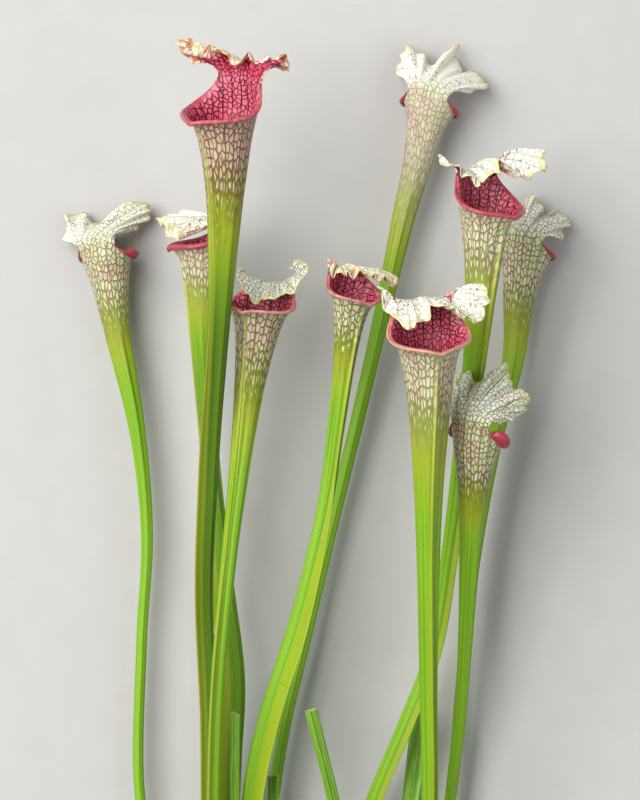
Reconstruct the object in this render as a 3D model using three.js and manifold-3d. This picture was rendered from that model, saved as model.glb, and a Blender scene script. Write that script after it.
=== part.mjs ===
// White-topped pitcher plant, lifted with its rootstock and laid on its back.
// Ten trumpet-shaped leaves, four cut leaves and a rooted rhizome, in millimetres.
// X runs across the plant, Y from the roots to the lids, and Z up from the surface it lies on.

import * as THREE from "three";
import { mergeVertices } from "three/addons/utils/BufferGeometryUtils.js";
import Module from "manifold-3d";

const wasm = await Module();
wasm.setup();

// Where the origin lies: the feet of the leaves are this far below it, and this far to its side.
const FEET_BELOW_ORIGIN = 187;
const FEET_BESIDE_ORIGIN = 2.2;

// Leaf walls and edges
const TUBE_WALL = 1.2;
const HOOD_WALL = 0.9;
const LIP_WALL = 1.5;
const LIP_FLARE_DEPTH = 4.2; // how far down the flare is felt
const LIP_ROLL_OUT = 1.7;
const LIP_ROLL_DOWN = 1.5;
const MOUTH_ZONE = 18; // depth of the funnel below the front of the lip
const NARROWEST_BORE = 3.2; // the tube is hollow down to this inner radius

// Angles of the columns round a leaf, in degrees from the middle of its back.
// The last pair lies on the wing's edge, and the pair before it at the wing's root.
const HALF_COLUMNS = [11, 34, 57, 72, 90, 112, 137, 158, 173];
const NECK_COLUMN = 2; // the hood grows from the columns up to this one
const WING_ROOT_HALF = 1.3;
const WING_EDGE_HALF = 0.4;
const TUBE_ROWS = 9;
const CUT_ROWS = 6;
const CUT_BELOW_MOUTH = 200; // a cut leaf keeps the section of a whole one at this depth

// Hood
const HOOD_ROWS = [0.28, 0.55, 0.8, 1];
const HOOD_SPLITS = 6; // columns of the hood for each column of the neck
const HOOD_LEAN = 0.25; // how far it leans back, as a share of its rise over the neck
const HOOD_TIP = { length: 3.2, spread: 0.06 };
const RUFFLES = [
  { waves: 4.6, size: 1.2, shift: 1 },
  { waves: 7.3, size: 1.3, shift: 2.3 },
];
const SCALLOPS = [
  { waves: 3.7, size: 1.5, shift: 1.3 },
  { waves: 6.1, size: 1.3, shift: 2.7 },
];
const SCALLOP_CUT = -1.2; // how far the edge is cut back between two scallops
const NECK_TAPER = 0.005; // narrowing of the neck for each millimetre over the lip
const BEAK = { drop: 2.2, reach: 1.6, spread: 0.14 }; // the lip's spout over the wing

const rad = THREE.MathUtils.degToRad;
const smooth = THREE.MathUtils.smoothstep;
const mix = THREE.MathUtils.lerp;
const at = (x, y, z) => new THREE.Vector3(x, y, z);

// path: points on the leaf's axis from its foot in the rhizome to the middle of its mouth.
// facing: degrees that the mouth is turned to the right of straight up from the surface.
// mouth, stem: radii. taper: how fast the funnel narrows. wing: its greatest width.
// neck: height of the neck over the front of the lip, as a share of the mouth's width.
// steep: how sharply the rim climbs to the neck. flare: how far the lip reaches out past the tube.
// hood: its rise over the neck at the left, middle and right, where its waves start, and its edge
// from left to right as distances from the middle of the mouth to the side, to the front and up.
const PITCHERS = [
  {
    name: "pitcher_far_left",
    path: [
      [-73, -15, 15], [-83.5, 30, 13], [-92.7, 75, 12], [-91.3, 148, 12], [-88.5, 202, 13],
      [-93.2, 255, 14.5], [-103.7, 308, 15.8], [-109, 343.5, 16.98],
    ],
    facing: 148, mouth: 12, stem: 2.6, taper: 46, wing: 2.3, neck: 0.25, steep: 5, flare: 2.2,
    hood: {
      crown: [6, 8, 6], wave: 0.4,
      edge: [
        [-20.5, -3, 13], [-22.5, -1, 20], [-17, 5, 25.5], [-6, 7.5, 22], [8.5, 17.5, 27.5],
        [15, 20, 20], [14.5, 16, 13], [10, 7.5, 11.5], [5, -0.5, 8],
      ],
    },
  },
  {
    name: "pitcher_back_left",
    path: [
      [-49, -10, 11], [-45.5, 40, 14], [-43, 90, 18], [-41.5, 131, 22], [-48, 185, 28],
      [-55.3, 248, 35], [-58.2, 305, 42], [-58.2, 350, 48],
    ],
    facing: -84, mouth: 11, stem: 3.2, taper: 44, wing: 6.4, neck: 0.4, steep: 5, flare: 3.2,
    hood: {
      crown: [4, 6, 5], wave: 2.2,
      edge: [
        [-9, -0.5, 10.5], [-12, 7, 9], [-12, 15, 5], [-6.5, 21, 9.5], [1, 21, 13.5],
        [9.5, 17, 12], [14, 10, 14], [15.5, 3, 13.5], [13.5, -2.5, 12.5],
      ],
    },
  },
  {
    name: "pitcher_tall_left",
    path: [
      [-60, -10, 20], [-56, 40, 25], [-55, 105, 34], [-57.2, 174, 47], [-54.6, 235, 63],
      [-51, 290, 82], [-47.4, 345, 99], [-46, 377, 108], [-45.8, 411, 117],
    ],
    facing: -43, mouth: 15.5, stem: 3.2, taper: 60, wing: 4.6, neck: 0.47, steep: 5, flare: 4.6,
    hood: {
      crown: [14, 11, 8], wave: 1.1,
      edge: [
        [-15, -25.5, 18.5], [-18, -23.5, 24.5], [-13.5, -17, 25.5], [-6.5, -12.5, 25], [1.5, -8.5, 26.5],
        [9, -3, 29], [18, 0.5, 30], [28, 4, 31.5], [25.5, -1.5, 21],
      ],
    },
  },
  {
    name: "pitcher_front_left",
    path: [
      [-52, -11, 29], [-53.5, 30, 39], [-53.3, 75, 50], [-51.3, 127, 58], [-45.9, 187, 62],
      [-39.7, 240, 64], [-33.7, 289, 66], [-29.8, 316.5, 67],
    ],
    facing: -24, mouth: 13.2, stem: 3.2, taper: 47, wing: 3, neck: 0.42, steep: 4.5, flare: 4.6,
    hood: {
      crown: [3, 5, 9], wave: 3.4,
      edge: [
        [-15.5, -9, 24.5], [-18.5, -5.5, 19], [-15.5, -1, 13.5], [-13.5, 2.5, 6.5], [-8.5, 7, 3.5],
        [-3, 9.5, 5.5], [3, 9, 6.5], [12, 3.5, 11], [16, -2.5, 20.5],
      ],
    },
  },
  {
    name: "pitcher_middle",
    path: [
      [-34, -11, 19], [-38, 35, 25], [-35.2, 75, 31], [-26.6, 114, 37], [-12, 160, 44],
      [1.3, 213, 51], [7.6, 256, 58], [12.8, 297, 66], [15.8, 324, 71],
    ],
    facing: 35, mouth: 10.2, stem: 3.7, taper: 28, wing: 8.6, neck: 0.48, steep: 4, flare: 4.4,
    hood: {
      crown: [5, 7, 6], wave: 4.6,
      edge: [
        [-22.5, 1.5, 4.5], [-22.5, 5.5, 8.5], [-14, 7, 9], [-6.5, 7, 11], [0.5, 6.5, 12],
        [6.5, 5.5, 11.5], [9.5, 2, 11], [11.5, -2, 12], [10.5, -7.5, 16],
      ],
    },
  },
  {
    name: "pitcher_back_tall",
    path: [
      [-28, -12, 9], [-27, 40, 10], [-19, 100, 10.5], [-7.5, 150, 11], [4.2, 200, 12],
      [17.8, 256, 13.5], [29.7, 307, 15], [42.8, 366, 16.2], [49.3, 390, 17.2], [55.6, 420, 17.85],
    ],
    facing: 160, mouth: 11, stem: 3.1, taper: 50, wing: 2.8, neck: 0.27, steep: 5, flare: 3.4,
    hood: {
      crown: [8, 10, 6], wave: 5.3,
      edge: [
        [-15.5, -1.5, 10], [-22, 0.5, 22], [-18, 4.5, 29.5], [-6, 5.5, 24.5], [3, 11, 32.5],
        [9, 12.5, 24], [16.5, 16.5, 23], [23, 14.5, 18], [15, 5, 11],
      ],
    },
  },
  {
    name: "pitcher_right",
    path: [
      [9, -12, 12], [14, 30, 16], [28.5, 72, 23], [43, 107, 28], [57.2, 146, 33],
      [65, 195, 40], [71.2, 245, 48], [77, 290, 57], [80.6, 335, 67], [82.2, 367, 73],
    ],
    facing: 41, mouth: 13.4, stem: 3.3, taper: 53, wing: 3.6, neck: 0.62, steep: 4, flare: 4.6,
    hood: {
      crown: [14, 6, 4], wave: 0.9,
      edge: [
        [-33, 5, 27], [-30, 9.5, 19], [-17.5, 7.5, 15], [-7.5, 5.5, 21], [1, 5, 20.5],
        [9.5, 4.5, 12.5], [14, -1, 18.5], [17.5, -8.5, 20.5], [18.5, -17.5, 25],
      ],
    },
  },
  {
    name: "pitcher_far_right",
    path: [
      [53.5, -10, 9], [60.5, 35, 9.5], [67.8, 75, 10.5], [73, 131, 12], [78.2, 185, 13.5],
      [88, 245, 15.5], [98.2, 290, 17], [101.5, 322, 17.7], [104.4, 346, 17.83],
    ],
    facing: 156, mouth: 12, stem: 3, taper: 42, wing: 2.8, neck: 0.26, steep: 5, flare: 2.8,
    hood: {
      crown: [7, 9, 6], wave: 2.9,
      edge: [
        [-12, 0.5, 8], [-16.5, 1.5, 15], [-14, 5, 22], [-7.5, 5, 23], [-4, 8.5, 30.5],
        [3.5, 11.5, 23.5], [11, 15, 23], [17, 14.5, 18.5], [14, 6.5, 10],
      ],
    },
  },
  {
    name: "pitcher_front_right",
    path: [
      [52, -10, 27], [54, 30, 36], [55.2, 75, 48], [54.2, 125, 62], [53.6, 175, 76],
      [53.4, 225, 89], [53.6, 268, 100], [52.9, 301, 108],
    ],
    facing: 13, mouth: 15.6, stem: 3.9, taper: 60, wing: 3.6, neck: 0.52, steep: 5, flare: 4.6,
    hood: {
      crown: [9, 5, 8], wave: 3.8,
      edge: [
        [-31, -8.5, 24.5], [-31, -2.5, 15], [-23, 1.5, 7.5], [-14.5, 3, 13.5], [-5.5, 4, 18],
        [3, 5.5, 13], [11, 5, 7.5], [19, -4, 15.5], [21, -14.5, 25.5],
      ],
    },
  },
  {
    name: "pitcher_low_right",
    path: [
      [65, -14, 19], [65.5, 30, 24], [66.4, 72, 32], [70.4, 105, 39], [73, 150, 49],
      [75, 200, 61], [76.4, 230, 69], [77.2, 249, 74],
    ],
    facing: 150, mouth: 11, stem: 2.5, taper: 50, wing: 2.3, neck: 0.5, steep: 3.5, flare: 2.6,
    hood: {
      crown: [10, 12, 8], wave: 5.9,
      edge: [
        [-16.5, 4, 13.5], [-21, 9, 22.5], [-17, 14, 31.5], [-7, 14.5, 30], [2.5, 22, 35.5],
        [8.5, 20.5, 27.5], [17.5, 22, 23], [17.5, 13, 17], [13.5, 2, 12],
      ],
    },
  },
];

// Leaves that were cut off short. half: half their width at the cut. slant: how much the cut leans.
const CUT_LEAVES = [
  {
    name: "cut_leaf_left",
    path: [[-41, -12, 25.5], [-41.5, 30, 32], [-43, 75, 38], [-42.5, 113, 41]],
    facing: -20, half: 2.3, wing: 2.6, slant: 0.5,
  },
  {
    name: "cut_leaf_short",
    path: [[-20.5, -12, 19], [-21.5, 25, 21], [-23.5, 55, 22], [-24, 80, 21]],
    facing: 30, half: 2.6, wing: 3.4, slant: -0.2,
  },
  {
    name: "cut_leaf_middle",
    path: [[20, -12, 20], [15.5, 25, 28], [7, 68, 36], [-4.5, 115, 41]],
    facing: -10, half: 3, wing: 2.2, slant: 0.05,
  },
  {
    name: "cut_leaf_back",
    path: [[35, -11, 11], [40, 30, 10.5], [46, 72, 12], [50, 112, 15]],
    facing: 60, half: 3.4, wing: 3.2, slant: 0.3,
  },
];

const RHIZOME = {
  path: [
    [-90, -19, 14], [-52, -13, 17.2], [-10, -15, 13.6],
    [25, -14, 14.8], [52, -12, 16.8], [84, -17, 14.5],
  ],
  halfHeight: [8.5, 17.6, 13.6, 15, 17.2, 9],
  halfDepth: [8, 14, 10.5, 12, 13.5, 8],
  sides: 16,
  rows: 20,
  lumps: 0.9,
};
const ROOTS = { count: 24, longest: 66, shortest: 34, radius: 1.5, sides: 4, steps: 6, seed: 11 };
const SOCKET_GAP = 0.35;
const SOCKET_DEPTH = 17;

// A small repeatable random source
function randomFrom(seed) {
  let state = seed * 7919 + 17;
  return () => {
    state = (state * 16807) % 2147483647;
    return state / 2147483647;
  };
}

// Points, triangles and solids

class Shell {
  points = [];
  faces = [];

  add(point) {
    this.points.push(point);
    return this.points.length - 1;
  }

  addRow(points) {
    return points.map((point) => this.add(point));
  }

  // Joins two rows with the same number of points, open or closed
  band(lower, upper, closed) {
    const last = closed ? lower.length : lower.length - 1;
    for (let i = 0; i < last; i++) {
      const j = (i + 1) % lower.length;
      this.faces.push([lower[i], lower[j], upper[j]], [lower[i], upper[j], upper[i]]);
    }
  }

  // Joins a row to one with a whole number of times as many steps
  fan(lower, upper) {
    const times = (upper.length - 1) / (lower.length - 1);
    for (let i = 0; i + 1 < lower.length; i++) {
      const middle = i * times + Math.floor(times / 2);
      for (let k = i * times; k < middle; k++) {
        this.faces.push([lower[i], upper[k + 1], upper[k]]);
      }
      this.faces.push([lower[i], lower[i + 1], upper[middle]]);
      for (let k = middle; k < (i + 1) * times; k++) {
        this.faces.push([lower[i + 1], upper[k + 1], upper[k]]);
      }
    }
  }

  cap(ring, centre, facingDown) {
    const middle = this.add(centre);
    ring.forEach((point, i) => {
      const next = ring[(i + 1) % ring.length];
      this.faces.push(facingDown ? [middle, next, point] : [middle, point, next]);
    });
  }

  normals() {
    const geometry = this.geometry();
    geometry.computeVertexNormals();
    const normal = geometry.getAttribute("normal");
    return this.points.map((_, i) => new THREE.Vector3().fromBufferAttribute(normal, i));
  }

  geometry() {
    const geometry = new THREE.BufferGeometry().setFromPoints(this.points);
    geometry.setIndex(this.faces.flat());
    return geometry;
  }
}

// Edges that only one of these faces has, in the face's own direction
function freeEdges(faces) {
  const once = new Map();
  for (const [a, b, c] of faces) {
    for (const [from, to] of [[a, b], [b, c], [c, a]]) {
      if (!once.delete(`${to},${from}`)) {
        once.set(`${from},${to}`, [from, to]);
      }
    }
  }
  return [...once.values()];
}

function solidFrom(geometry) {
  const bare = geometry.clone();
  bare.deleteAttribute("normal");
  bare.deleteAttribute("uv");
  const merged = mergeVertices(bare, 1e-4);
  return new wasm.Manifold(
    new wasm.Mesh({
      numProp: 3,
      vertProperties: new Float32Array(merged.getAttribute("position").array),
      triVerts: new Uint32Array(merged.getIndex().array),
    }),
  );
}

function geometryFrom(solid) {
  const mesh = solid.getMesh();
  return new THREE.BufferGeometry()
    .setAttribute("position", new THREE.BufferAttribute(mesh.vertProperties, 3))
    .setIndex(new THREE.BufferAttribute(mesh.triVerts, 1));
}

// The leaf's axis, with its length and a frame at any distance from the foot
class Axis {
  constructor(path, facing) {
    this.curve = new THREE.CatmullRomCurve3(path.map((p) => at(...p)), false, "catmullrom", 0.5);
    this.length = this.curve.getLength();
    this.facing = at(Math.sin(rad(facing)), 0, Math.cos(rad(facing)));
  }

  frame(distance) {
    const share = THREE.MathUtils.clamp(distance / this.length, 0, 1);
    const along = this.curve.getTangentAt(share);
    const front = this.facing.clone().addScaledVector(along, -this.facing.dot(along)).normalize();
    const side = front.clone().cross(along);
    return { centre: this.curve.getPointAt(share), along, front, side };
  }
}

// A point beside a frame's centre
function beside({ centre, along, front, side }, toSide, toFront, up = 0) {
  return centre
    .clone()
    .addScaledVector(side, toSide)
    .addScaledVector(front, toFront)
    .addScaledVector(along, up);
}

function tubeRadius(leaf, below) {
  return leaf.stem + (leaf.mouth - leaf.stem) * Math.exp(-below / leaf.taper);
}

// A leaf's section at a distance from its foot. The foot is wide and clasps the rhizome, and the
// wing is a low keel under the lip that is widest in the lower half of the leaf.
function sectionAt(leaf, axis, distance) {
  const below = leaf.half ? CUT_BELOW_MOUTH : axis.length - distance;
  const radius = leaf.half ?? tubeRadius(leaf, below);
  const clasp = 1 - smooth(distance, 4, 46);
  const widest = leaf.wing * smooth(below, 60, 190) * mix(0.3, 1, smooth(distance, 15, 95));
  const keel = 1.3 * smooth(below, 5, 22) * smooth(distance, 5, 30);
  return {
    radius,
    half: radius + 1.7 * clasp,
    depth: radius * mix(0.94, 0.82, clasp),
    wing: Math.max(widest, keel),
  };
}

// One ring of a leaf, from the wing's edge round the back to the wing's edge again
function leafRing(frame, { half, depth, wing }, clearance = 0) {
  const last = HALF_COLUMNS.length - 1;
  const wide = half + clearance;
  const deep = depth + clearance;
  const right = HALF_COLUMNS.map((degrees, column) => {
    const angle = rad(degrees);
    let toSide = wide * Math.sin(angle);
    let toFront = -deep * Math.cos(angle);
    if (column >= last - 1) {
      toSide = (column === last ? WING_EDGE_HALF : Math.min(WING_ROOT_HALF, half * 0.5)) + clearance;
      toFront = deep * Math.cos(Math.asin(toSide / wide)) + (column === last ? wing : 0);
    }
    return [toSide, toFront];
  });
  const left = [...right].reverse().map(([toSide, toFront]) => [-toSide, toFront]);
  return [...left, ...right].map(([toSide, toFront]) => beside(frame, toSide, toFront));
}

const COLUMN_ANGLES = [...HALF_COLUMNS].reverse().map((a) => -a).concat(HALF_COLUMNS).map(rad);
const NECK_ANGLE = rad(HALF_COLUMNS[NECK_COLUMN]);

// Height of the rim over the front of the lip, for a column of the mouth
function rimHeight(leaf, angle) {
  const fromFront = (Math.PI - Math.abs(angle)) / (Math.PI - NECK_ANGLE);
  const spout = BEAK.drop * Math.exp(-fromFront / BEAK.spread);
  return leaf.mouth * 2 * leaf.neck * Math.min(1, fromFront) ** leaf.steep - spout;
}

// A point on the outside of the funnel below the rim
function mouthPoint(leaf, frame, angle, share, outward = 0, upward = 0) {
  const rim = rimHeight(leaf, angle);
  const height = mix(-MOUTH_ZONE, rim, share);
  const radius = tubeRadius(leaf, Math.max(0, -height)) * (1 - NECK_TAPER * Math.max(0, height));
  const depth = radius * mix(0.94, 1, smooth(height, -MOUTH_ZONE, 0));
  const flared = flareShare(angle);
  const felt = Math.exp((height - rim) / LIP_FLARE_DEPTH);
  const beak = BEAK.reach * Math.exp(-(((Math.PI - Math.abs(angle)) / 0.35) ** 2));
  const roll = mix(0.35, 1, flared);
  const reach = leaf.flare * flared * felt + outward * roll;
  return beside(
    frame,
    (radius + reach) * Math.sin(angle),
    -(depth + reach) * Math.cos(angle) + beak * felt,
    height + upward * roll,
  );
}

// How much of the lip's flare a column has: all of it round the front, none on the midrib
function flareShare(angle) {
  const atNeck = 0.7 * smooth(Math.abs(angle), 0.4, NECK_ANGLE);
  return mix(atNeck, 1, smooth(Math.abs(angle), NECK_ANGLE, 1.6));
}

// A curve through evenly spaced points, read at a place from -1 to 1
function through(points, across) {
  const curve = new THREE.CatmullRomCurve3(points.map((p) => at(...p)), false, "catmullrom", 0.5);
  return curve.getPoint((across + 1) / 2);
}

// The hood in its leaf's own directions: it leaves the neck upright and bends over to its edge
function hoodSheet(leaf, up, across) {
  const { crown, edge } = leaf.hood;
  const turn = across * NECK_ANGLE;
  const top = rimHeight(leaf, NECK_ANGLE);
  const neck = leaf.mouth * (1 - NECK_TAPER * top) + leaf.flare * flareShare(turn);
  const start = at(neck * Math.sin(turn), -neck * Math.cos(turn), top);
  const rise = through(crown.map((height) => [height, 0, 0]), across).x;
  const lean = HOOD_LEAN * rise;
  const bend = start.clone().add(at(lean * Math.sin(turn), -lean * Math.cos(turn), rise));
  const end = through(edge, across);
  const tip = HOOD_TIP.length * Math.exp(-((across / HOOD_TIP.spread) ** 2));
  end.addScaledVector(end.clone().sub(bend).normalize(), tip);
  return new THREE.QuadraticBezierCurve3(start, bend, end).getPoint(up);
}

// The hood with its ruffles, which grow towards the edge, and the edge's scallops
function hoodPoint(leaf, frame, up, across) {
  const step = 0.01;
  const right = hoodSheet(leaf, up, Math.min(1, across + step));
  const left = hoodSheet(leaf, up, Math.max(-1, across - step));
  const above = hoodSheet(leaf, up + step, across);
  const below = hoodSheet(leaf, up - step, across);
  const outward = above.sub(below).normalize();
  const face = right.sub(left).cross(outward).normalize();
  let ruffle = 0;
  for (const { waves, size, shift } of RUFFLES) {
    const growth = smooth(up, 0.15, 1) ** (waves / 5);
    ruffle += size * growth * Math.sin(across * Math.PI * waves + leaf.hood.wave * shift);
  }
  let scallop = SCALLOP_CUT;
  for (const { waves, size, shift } of SCALLOPS) {
    scallop += size * Math.abs(Math.sin(across * Math.PI * waves + leaf.hood.wave * shift));
  }
  const point = hoodSheet(leaf, up, across);
  point.addScaledVector(face, -ruffle);
  point.addScaledVector(outward, scallop * up ** 3);
  return beside(frame, point.x, point.y, point.z);
}

function pitcherGeometry(leaf) {
  const axis = new Axis(leaf.path, leaf.facing);
  const mouth = axis.frame(axis.length);
  const shell = new Shell();
  const inner = new Map(); // inner point for each outer one, where the leaf is hollow
  const tubeTop = axis.length - MOUTH_ZONE;
  const columns = COLUMN_ANGLES.length;

  // The tube, closed at the foot and hollow from where it is wide enough
  const rings = [];
  for (let row = 0; row < TUBE_ROWS; row++) {
    const distance = row === 0 ? 0 : mix(SOCKET_DEPTH, tubeTop, ((row - 1) / (TUBE_ROWS - 1)) ** 0.9);
    const frame = axis.frame(distance);
    const section = sectionAt(leaf, axis, distance);
    const ring = shell.addRow(leafRing(frame, section));
    const boreHalf = section.half - TUBE_WALL;
    const boreDepth = section.depth - TUBE_WALL;
    if (section.radius - TUBE_WALL > NARROWEST_BORE) {
      ring.forEach((id, column) => {
        const angle = COLUMN_ANGLES[column];
        inner.set(id, beside(frame, boreHalf * Math.sin(angle), -boreDepth * Math.cos(angle)));
      });
    }
    rings.push(ring);
  }

  // The funnel, from the end of the tube to the crest of the lip
  for (const share of [0, 0.55, 0.85, 1]) {
    const keel = 1.3 * (1 - smooth(share, 0, 0.85));
    const row = COLUMN_ANGLES.map((angle, column) => {
      const onKeel = column === 0 || column === columns - 1;
      return mouthPoint(leaf, mouth, angle, share, onKeel ? keel : 0);
    });
    rings.push(shell.addRow(row));
  }
  rings.slice(1).forEach((ring, i) => shell.band(rings[i], ring, true));
  const crest = rings.at(-1);

  // The rolled edge of the lip, round the front from one side of the neck to the other
  const firstNeck = HALF_COLUMNS.length - 1 - NECK_COLUMN;
  const lastNeck = HALF_COLUMNS.length + NECK_COLUMN;
  const lipColumns = [];
  for (let column = lastNeck; column <= firstNeck + columns; column++) {
    lipColumns.push(column % columns);
  }
  const lipEdge = shell.addRow(
    lipColumns.map((column) =>
      mouthPoint(leaf, mouth, COLUMN_ANGLES[column], 1, LIP_ROLL_OUT, -LIP_ROLL_DOWN),
    ),
  );
  shell.band(lipColumns.map((column) => crest[column]), lipEdge, false);

  // The hood, from the back of the neck to its waved edge
  const neckRow = crest.slice(firstNeck, lastNeck + 1);
  const hoodColumns = (neckRow.length - 1) * HOOD_SPLITS;
  const hoodRows = HOOD_ROWS.map((up) =>
    shell.addRow(
      Array.from({ length: hoodColumns + 1 }, (_, i) =>
        hoodPoint(leaf, mouth, up, (2 * i) / hoodColumns - 1),
      ),
    ),
  );
  shell.fan(neckRow, hoodRows[0]);
  hoodRows.slice(1).forEach((row, i) => shell.band(hoodRows[i], row, false));

  // The inner face: the wall's thickness inside the outer one, thick along the lip
  const normals = shell.normals();
  const hoodStart = hoodRows[0][0];
  const lipPoints = new Set([...lipEdge, ...crest.filter((id) => !neckRow.slice(1, -1).includes(id))]);
  rings.slice(TUBE_ROWS).flat().concat(lipEdge, hoodRows.flat()).forEach((id) => {
    let wall = TUBE_WALL;
    if (id >= hoodStart) {
      wall = HOOD_WALL;
    } else if (lipPoints.has(id)) {
      wall = LIP_WALL;
    }
    inner.set(id, shell.points[id].clone().addScaledVector(normals[id], -wall));
  });

  const outerFaces = [...shell.faces];
  const rim = freeEdges(outerFaces).filter(([from]) => !rings[0].includes(from));
  const innerIds = new Map();
  inner.forEach((point, id) => innerIds.set(id, shell.add(point)));
  for (const [a, b, c] of outerFaces) {
    if (innerIds.has(a) && innerIds.has(b) && innerIds.has(c)) {
      shell.faces.push([innerIds.get(a), innerIds.get(c), innerIds.get(b)]);
    }
  }
  for (const [from, to] of rim) {
    shell.faces.push([to, from, innerIds.get(from)], [to, innerIds.get(from), innerIds.get(to)]);
  }
  shell.cap(rings[0], axis.frame(0).centre, true);
  const floor = rings.find((ring) => innerIds.has(ring[0]));
  const floorCentre = new THREE.Vector3();
  floor.forEach((id) => floorCentre.addScaledVector(inner.get(id), 1 / columns));
  shell.cap(floor.map((id) => innerIds.get(id)), floorCentre, false);
  return shell.geometry();
}

// The lower end of a leaf, grown by a clearance, that hollows its socket in the rhizome
function footSolid(leaf) {
  const axis = new Axis(leaf.path, leaf.facing);
  const shell = new Shell();
  const foot = axis.frame(0);
  foot.centre.addScaledVector(foot.along, -SOCKET_GAP);
  const top = axis.frame(SOCKET_DEPTH);
  const lower = shell.addRow(leafRing(foot, sectionAt(leaf, axis, 0), SOCKET_GAP));
  const upper = shell.addRow(leafRing(top, sectionAt(leaf, axis, SOCKET_DEPTH), SOCKET_GAP));
  shell.band(lower, upper, true);
  shell.cap(lower, foot.centre, true);
  shell.cap(upper, top.centre, false);
  return solidFrom(shell.geometry());
}

function cutLeafGeometry(leaf) {
  const axis = new Axis(leaf.path, leaf.facing);
  const shell = new Shell();
  const rings = [];
  for (let row = 0; row <= CUT_ROWS; row++) {
    const distance = row === 0 ? 0 : mix(SOCKET_DEPTH, axis.length, (row - 1) / (CUT_ROWS - 1));
    const frame = axis.frame(distance);
    const points = leafRing(frame, sectionAt(leaf, axis, distance));
    if (row === CUT_ROWS) {
      points.forEach((point) => {
        const toSide = point.clone().sub(frame.centre).dot(frame.side);
        point.addScaledVector(frame.along, leaf.slant * toSide);
      });
    }
    rings.push(shell.addRow(points));
  }
  rings.slice(1).forEach((ring, i) => shell.band(rings[i], ring, true));
  shell.cap(rings[0], axis.frame(0).centre, true);
  shell.cap(rings.at(-1), axis.frame(axis.length).centre, false);
  return shell.geometry();
}

function rhizomeBody() {
  const { path, halfHeight, halfDepth, sides, rows, lumps } = RHIZOME;
  const random = randomFrom(5);
  const curve = new THREE.CatmullRomCurve3(path.map((p) => at(...p)), false, "catmullrom", 0.5);
  const pick = (values, share) => {
    const place = share * (values.length - 1);
    const low = Math.min(Math.floor(place), values.length - 2);
    return mix(values[low], values[low + 1], smooth(place - low, 0, 1));
  };
  const shell = new Shell();
  const rings = [];
  for (let row = 0; row <= rows; row++) {
    const share = row / rows;
    const end = Math.sqrt(Math.max(0, 1 - Math.abs(2 * share - 1) ** 8));
    const centre = curve.getPoint(share);
    const rounding = Math.max(0.35, end);
    const ridge = row % 2 ? 0.96 : 1.02; // old leaf scars ring the rhizome
    const points = [];
    for (let side = 0; side < sides; side++) {
      const angle = (side / sides) * 2 * Math.PI;
      const swell = rounding * ridge;
      const lump = (random() - 0.5) * lumps;
      points.push(
        at(
          centre.x,
          centre.y + Math.cos(angle) * (pick(halfDepth, share) * swell + lump),
          centre.z + Math.sin(angle) * (pick(halfHeight, share) * swell + lump),
        ),
      );
    }
    rings.push(shell.addRow(points));
  }
  rings.slice(1).forEach((ring, i) => shell.band(rings[i], ring, true));
  shell.cap(rings[0], curve.getPoint(0).add(at(-2.5, 0, 0)), true);
  shell.cap(rings.at(-1), curve.getPoint(1).add(at(2.5, 0, 0)), false);
  return solidFrom(shell.geometry());
}

// One root: a thin tapering thread that sinks to the surface as it runs out
function rootSolid(start, heading, length, random) {
  const { radius, sides, steps } = ROOTS;
  const shell = new Shell();
  const rings = [];
  const swing = (random() - 0.5) * 1.3;
  const place = start.clone();
  let turn = heading;
  for (let step = 0; step <= steps; step++) {
    const share = step / steps;
    const thick = radius * mix(1, 0.5, share);
    const ring = [];
    const across = at(Math.cos(turn), Math.sin(turn), 0);
    for (let side = 0; side < sides; side++) {
      const angle = ((side + 0.5) / sides) * 2 * Math.PI;
      const point = place.clone().addScaledVector(across, Math.cos(angle) * thick);
      ring.push(point.add(at(0, 0, Math.sin(angle) * thick)));
    }
    rings.push(shell.addRow(ring));
    turn += (swing * Math.cos(share * 5)) / steps + ((random() - 0.5) * 0.5) / steps;
    const stride = length / steps;
    place.add(at(Math.sin(turn) * stride, -Math.cos(turn) * stride, 0));
    place.z = mix(place.z, radius + 0.2, 0.3);
  }
  rings.slice(1).forEach((ring, i) => shell.band(rings[i], ring, true));
  shell.cap(rings[0], start, true);
  const last = rings.at(-1);
  const end = new THREE.Vector3();
  last.forEach((id) => end.addScaledVector(shell.points[id], 1 / sides));
  shell.cap(last, end, false);
  return solidFrom(shell.geometry());
}

function rhizomeGeometry() {
  let solid = rhizomeBody();
  const random = randomFrom(ROOTS.seed);
  const curve = new THREE.CatmullRomCurve3(RHIZOME.path.map((p) => at(...p)), false, "catmullrom", 0.5);
  for (let i = 0; i < ROOTS.count; i++) {
    const share = mix(0.05, 0.95, (i + 0.5) / ROOTS.count);
    const centre = curve.getPoint(share);
    const start = centre.clone().add(at(0, -2, mix(-7, 5, random())));
    const heading = mix(-0.75, 0.75, share) + (random() - 0.5) * 0.35;
    const length = mix(ROOTS.shortest, ROOTS.longest, random());
    solid = solid.add(rootSolid(start, heading, length, random));
  }
  for (const leaf of [...PITCHERS, ...CUT_LEAVES]) {
    solid = solid.subtract(footSolid(leaf));
  }
  const below = new THREE.BoxGeometry(400, 400, 20).translate(0, 0, -10);
  solid = solid.subtract(solidFrom(below));
  const [whole] = solid.decompose().sort((a, b) => b.volume() - a.volume());
  return geometryFrom(whole);
}

// Materials
const leafGreen = new THREE.MeshStandardMaterial({ color: 0x8fb53a, roughness: 0.5, metalness: 0 });
const cutGreen = new THREE.MeshStandardMaterial({ color: 0x6fa52c, roughness: 0.55, metalness: 0 });
const rootBrown = new THREE.MeshStandardMaterial({ color: 0x6b4a33, roughness: 0.85, metalness: 0 });

const plant = new THREE.Group();

function addPiece(name, geometry, material) {
  const mesh = new THREE.Mesh(geometry, material);
  mesh.name = name;
  plant.add(mesh);
}

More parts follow.
